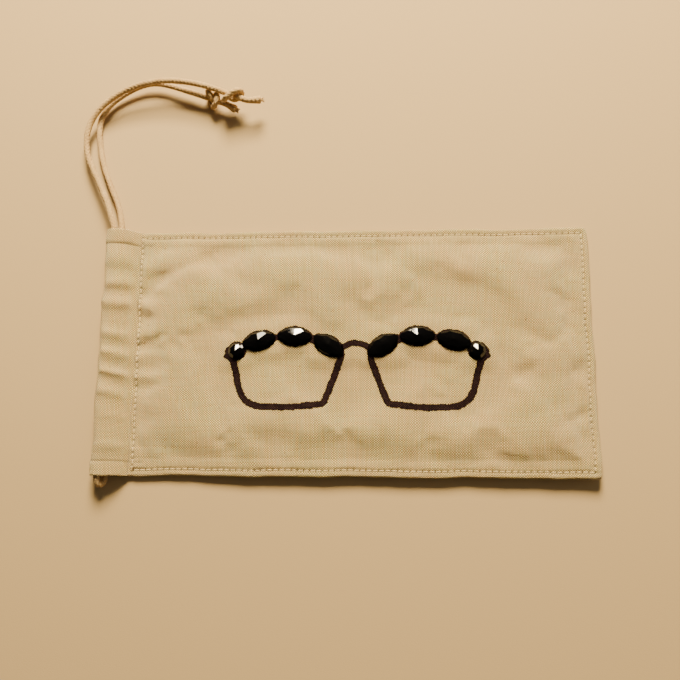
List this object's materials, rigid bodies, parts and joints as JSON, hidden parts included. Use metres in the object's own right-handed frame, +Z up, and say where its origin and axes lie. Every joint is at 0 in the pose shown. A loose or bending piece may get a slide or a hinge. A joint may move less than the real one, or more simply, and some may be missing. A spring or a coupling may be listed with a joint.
{
  "type": "glasses pouch",
  "caption": "Soft flat drawstring pouch for glasses: canvas with a hemmed mouth, a cord with knotted ends, and a spectacles motif of ink lines and faceted stones.",
  "frame": {"origin": "centre of the pouch's underside, on the surface it lies on", "axes": "+X from the mouth to the closed end, +Y to the side where the cord comes out, +Z up out of the front cloth"},
  "size_m": [0.1907, 0.1615, 0.0121],
  "materials": {
    "canvas": "undyed plain-weave cotton canvas, matt, with slubs and seed specks",
    "thread": "undyed cotton sewing thread",
    "cord": "undyed braided cotton cord",
    "ink": "dark brown-black marker soaked into the weave",
    "stone": "glossy black faceted acrylic",
    "glue": "clear craft glue, set"
  },
  "bodies": {
    "pouch": {"back_casing_bobbin_thread": "thread", "back_casing_needle_thread": "thread", "back_panel": "canvas", "bridge_ink": "ink", "drawstring_turn": "cord", "edge_bobbin_thread": "thread", "edge_needle_thread": "thread", "front_casing_bobbin_thread": "thread", "front_casing_needle_thread": "thread", "front_panel": "canvas", "joining_seam_thread": "thread", "left_corner_stone": "stone", "left_inner_stone": "stone", "left_middle_stone": "stone", "left_outer_stone": "stone", "left_rim_ink": "ink", "right_corner_stone": "stone", "right_inner_stone": "stone", "right_middle_stone": "stone", "right_outer_stone": "stone", "right_rim_ink": "ink", "stone_glue": "glue"},
    "front_lip": {"front_casing": "canvas"},
    "front_run": {"drawstring_front_run": "cord"},
    "front_exit": {"drawstring_front_exit": "cord"},
    "front_end": {"drawstring_front_end": "cord"},
    "back_run": {"drawstring_back_run": "cord"},
    "back_end": {"drawstring_back_end": "cord"}
  },
  "joints": [
    {"name": "mouth_open", "type": "hinge", "parent": "pouch", "child": "front_lip", "pos_m": [-0.07745, 0, 0.0021], "axis": [0, 1, 0], "range_deg": [0, 60]},
    {"name": "drawstring_pull", "type": "slide", "parent": "pouch", "child": "back_run", "axis": [0, 1, 0], "range_m": [0, 0.03]},
    {"name": "front_run_slide", "type": "slide", "parent": "front_lip", "child": "front_run", "axis": [0, 1, 0], "range_m": [0, 0.03]},
    {"name": "front_exit_level", "type": "hinge", "parent": "front_run", "child": "front_exit", "pos_m": [-0.0874, 0.047, 0.00535], "axis": [0, 1, 0], "range_deg": [-60, 0]},
    {"name": "front_end_swing", "type": "hinge", "parent": "front_exit", "child": "front_end", "pos_m": [-0.0874, 0.0495, 0.00535], "axis": [0, 0, 1], "range_deg": [-30, 75]},
    {"name": "back_end_swing", "type": "hinge", "parent": "back_run", "child": "back_end", "pos_m": [-0.0858, 0.0495, 0.00175], "axis": [0, 0, 1], "range_deg": [-30, 75]}
  ],
  "couplings": [
    {"joint": "front_run_slide", "follows": "drawstring_pull", "ratio": 1},
    {"joint": "front_exit_level", "follows": "mouth_open", "ratio": -1}
  ]
}
